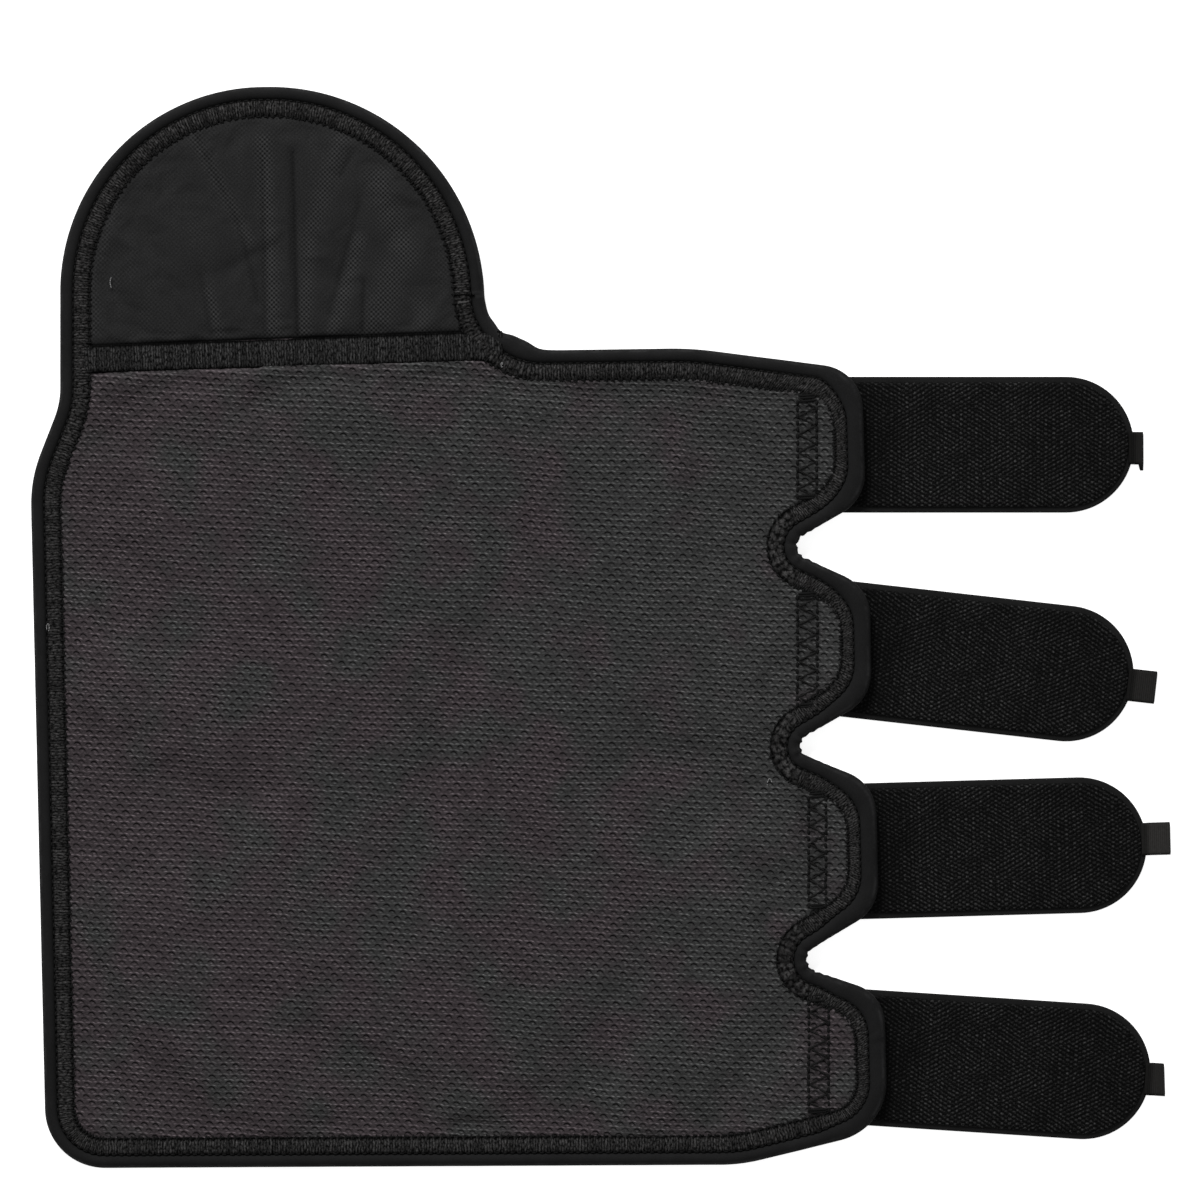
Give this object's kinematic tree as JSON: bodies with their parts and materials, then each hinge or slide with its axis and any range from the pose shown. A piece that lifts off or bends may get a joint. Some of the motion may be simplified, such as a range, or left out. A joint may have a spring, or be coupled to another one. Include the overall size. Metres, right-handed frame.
{
  "type": "wrap-around limb guard",
  "caption": "Flat-laid padded leg guard: a bound panel that wraps a limb, a rounded dome flap at one end of its top edge, and hook straps on scalloped tabs.",
  "frame": {"origin": "on the resting underside (outer cover), below section 3 and half way up the main panel, 148.5 mm from the panel's left end", "axes": "+X across the panel to the strap tips, +Y up the panel to the dome flap, +Z out of the lining, away from the resting face"},
  "size_m": [0.4187, 0.3969, 0.0078],
  "materials": {
    "lining": "embossed fleece-backed lining, matt",
    "cover": "close-woven cover, matt",
    "binding": "rolled fabric binding with overlock stitching",
    "foam": "closed-cell foam",
    "tape": "overlock-stitched tape",
    "loop": "brushed loop pile",
    "dome_lining": "plain-woven lining",
    "thread": "zigzag thread",
    "webbing": "woven webbing",
    "hook": "moulded hook field",
    "ribbon": "ribbed ribbon"
  },
  "bodies": {
    "section_1": {"sheet_1": "lining", "cover_1": "cover", "binding_1": "binding", "seam_tape_1": "tape", "loop_panel": "loop"},
    "section_2": {"sheet_2": "lining", "cover_2": "cover", "binding_2": "binding", "foam_2": "foam", "seam_tape_2": "tape"},
    "section_3": {"sheet_3": "lining", "cover_3": "cover", "binding_3": "binding", "foam_3": "foam", "seam_tape_3": "tape"},
    "section_4": {"sheet_4": "lining", "cover_4": "cover", "binding_4": "binding", "foam_4": "foam"},
    "section_5": {"sheet_5": "lining", "cover_5": "cover", "binding_5": "binding", "foam_5": "foam"},
    "section_6": {"sheet_6": "lining", "cover_6": "cover", "binding_6": "binding", "anchor_stitching": "thread", "strap_roots": "webbing"},
    "dome_left": {"dome_lining_1": "dome_lining", "dome_pad_1": "foam", "dome_cover_1": "cover", "dome_binding_1": "binding"},
    "dome_mid": {"dome_lining_2": "dome_lining", "dome_pad_2": "foam", "dome_cover_2": "cover", "dome_binding_2": "binding"},
    "dome_right": {"dome_lining_3": "dome_lining", "dome_pad_3": "foam", "dome_cover_3": "cover", "dome_binding_3": "binding"},
    "strap_1_inner": {"webbing_1a": "webbing", "hooks_1a": "hook"},
    "strap_1_outer": {"webbing_1b": "webbing", "hooks_1b": "hook", "pull_1": "ribbon"},
    "strap_2_inner": {"webbing_2a": "webbing", "hooks_2a": "hook"},
    "strap_2_outer": {"webbing_2b": "webbing", "hooks_2b": "hook", "pull_2": "ribbon"},
    "strap_3_inner": {"webbing_3a": "webbing", "hooks_3a": "hook"},
    "strap_3_outer": {"webbing_3b": "webbing", "hooks_3b": "hook", "pull_3": "ribbon"},
    "strap_4_inner": {"webbing_4a": "webbing", "hooks_4a": "hook"},
    "strap_4_outer": {"webbing_4b": "webbing", "hooks_4b": "hook", "pull_4": "ribbon"}
  },
  "joints": [
    {"name": "wrap", "type": "hinge", "parent": "section_3", "child": "section_2", "pos_m": [-0.0295, 0, 0.008], "axis": [0, 1, 0], "range_deg": [0, 60]},
    {"name": "wrap_1", "type": "hinge", "parent": "section_2", "child": "section_1", "pos_m": [-0.0885, 0, 0.008], "axis": [0, 1, 0], "range_deg": [0, 60]},
    {"name": "wrap_4", "type": "hinge", "parent": "section_3", "child": "section_4", "pos_m": [0.0355, 0, 0.008], "axis": [0, -1, 0], "range_deg": [0, 56]},
    {"name": "wrap_5", "type": "hinge", "parent": "section_4", "child": "section_5", "pos_m": [0.0785, 0, 0.008], "axis": [0, -1, 0], "range_deg": [0, 46]},
    {"name": "wrap_6", "type": "hinge", "parent": "section_5", "child": "section_6", "pos_m": [0.1215, 0, 0.008], "axis": [0, -1, 0], "range_deg": [0, 44]},
    {"name": "dome_fold", "type": "hinge", "parent": "section_2", "child": "dome_mid", "pos_m": [-0.0585, 0.1521, 0.008], "axis": [-0.9993, -0.0366, 0], "range_deg": [-165, 0]},
    {"name": "dome_curl_left", "type": "hinge", "parent": "dome_mid", "child": "dome_left", "pos_m": [-0.0885, 0, 0.008], "axis": [0, 1, 0], "range_deg": [0, 60]},
    {"name": "dome_curl_right", "type": "hinge", "parent": "dome_mid", "child": "dome_right", "pos_m": [-0.0295, 0, 0.008], "axis": [0, -1, 0], "range_deg": [0, 60]},
    {"name": "strap_1", "type": "hinge", "parent": "section_6", "child": "strap_1_inner", "pos_m": [0.1583, 0.1136, 0.0023], "axis": [0, -1, 0], "range_deg": [0, 26.7]},
    {"name": "strap_1_bend", "type": "hinge", "parent": "strap_1_inner", "child": "strap_1_outer", "pos_m": [0.2173, 0.1136, 0.0023], "axis": [0, -1, 0], "range_deg": [0, 67.3]},
    {"name": "strap_2", "type": "hinge", "parent": "section_6", "child": "strap_2_inner", "pos_m": [0.1606, 0.0374, 0.0023], "axis": [0, -1, 0], "range_deg": [0, 28.8]},
    {"name": "strap_2_bend", "type": "hinge", "parent": "strap_2_inner", "child": "strap_2_outer", "pos_m": [0.218, 0.0374, 0.0023], "axis": [0, -1, 0], "range_deg": [0, 65.2]},
    {"name": "strap_3", "type": "hinge", "parent": "section_6", "child": "strap_3_inner", "pos_m": [0.1631, -0.0358, 0.0023], "axis": [0, -1, 0], "range_deg": [0, 31.6]},
    {"name": "strap_3_bend", "type": "hinge", "parent": "strap_3_inner", "child": "strap_3_outer", "pos_m": [0.2191, -0.0358, 0.0023], "axis": [0, -1, 0], "range_deg": [0, 62.4]},
    {"name": "strap_4", "type": "hinge", "parent": "section_6", "child": "strap_4_inner", "pos_m": [0.1662, -0.1123, 0.0023], "axis": [0, -1, 0], "range_deg": [0, 34.5]},
    {"name": "strap_4_bend", "type": "hinge", "parent": "strap_4_inner", "child": "strap_4_outer", "pos_m": [0.2202, -0.1123, 0.0023], "axis": [0, -1, 0], "range_deg": [0, 59.5]}
  ],
  "couplings": [
    {"joint": "wrap_1", "follows": "wrap", "ratio": 1},
    {"joint": "wrap_4", "follows": "wrap", "ratio": 0.93333},
    {"joint": "wrap_5", "follows": "wrap", "ratio": 0.76667},
    {"joint": "wrap_6", "follows": "wrap", "ratio": 0.73333},
    {"joint": "dome_curl_left", "follows": "wrap", "ratio": 1},
    {"joint": "dome_curl_right", "follows": "wrap", "ratio": 1},
    {"joint": "strap_1_bend", "follows": "strap_1", "ratio": 2.5206},
    {"joint": "strap_2_bend", "follows": "strap_2", "ratio": 2.2639},
    {"joint": "strap_3_bend", "follows": "strap_3", "ratio": 1.9747},
    {"joint": "strap_4_bend", "follows": "strap_4", "ratio": 1.7246}
  ]
}
